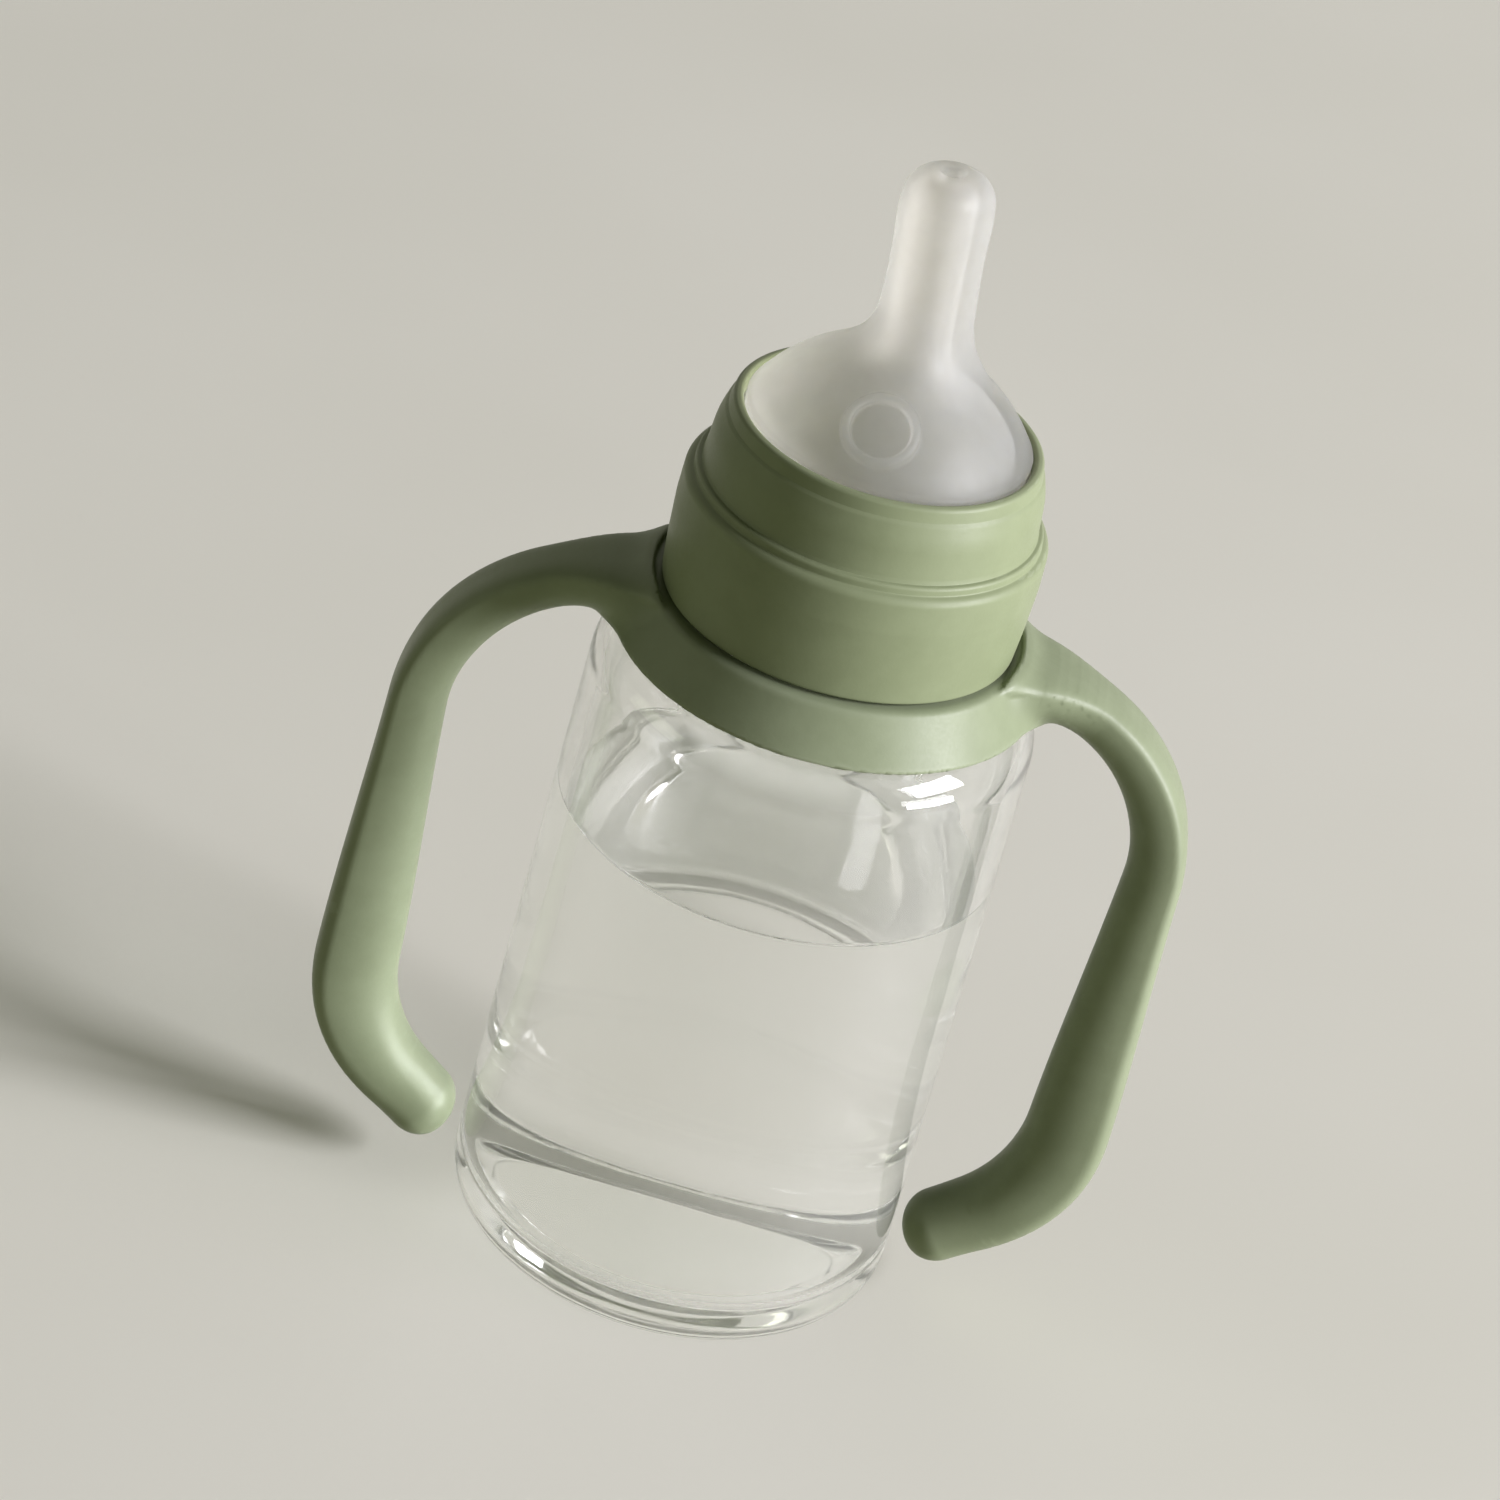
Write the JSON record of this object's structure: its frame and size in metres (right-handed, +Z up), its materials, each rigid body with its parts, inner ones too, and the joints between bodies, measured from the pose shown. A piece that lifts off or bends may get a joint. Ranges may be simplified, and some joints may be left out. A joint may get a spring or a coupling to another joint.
{
  "type": "baby training bottle",
  "caption": "Small clear bottle with a swivelling handle ring, a screw collar and a soft upright spout with a vent valve.",
  "frame": {"origin": "centre of the bottle's base, on the surface it stands on", "axes": "+Z up along the bottle's axis; the handles lie along X, and the spout's vent valve faces -Y"},
  "size_m": [0.1014, 0.056, 0.1523],
  "materials": {
    "clear_glass": "clear and polished",
    "handle_plastic": "satin, moulded in one colour",
    "collar_plastic": "satin, moulded in one colour",
    "silicone": "milky, translucent and soft"
  },
  "bodies": {
    "bottle": {"bottle": "clear_glass"},
    "handle_ring": {"handle_ring": "handle_plastic"},
    "spout": {"spout": "silicone"},
    "collar": {"collar": "collar_plastic"}
  },
  "joints": [
    {"name": "collar_lift", "type": "slide", "parent": "bottle", "child": "spout", "axis": [0, 0, 1], "range_m": [0, 0.01]},
    {"name": "collar_turn", "type": "hinge", "parent": "spout", "child": "collar", "pos_m": [0, 0, 0.1], "axis": [0, 0, 1], "range_deg": [0, 900]},
    {"name": "handle_swivel", "type": "hinge", "parent": "bottle", "child": "handle_ring", "pos_m": [0, 0, 0.09], "axis": [0, 0, 1], "continuous": true}
  ],
  "couplings": [
    {"joint": "collar_turn", "follows": "collar_lift", "rad_per_m": 1570.8}
  ]
}
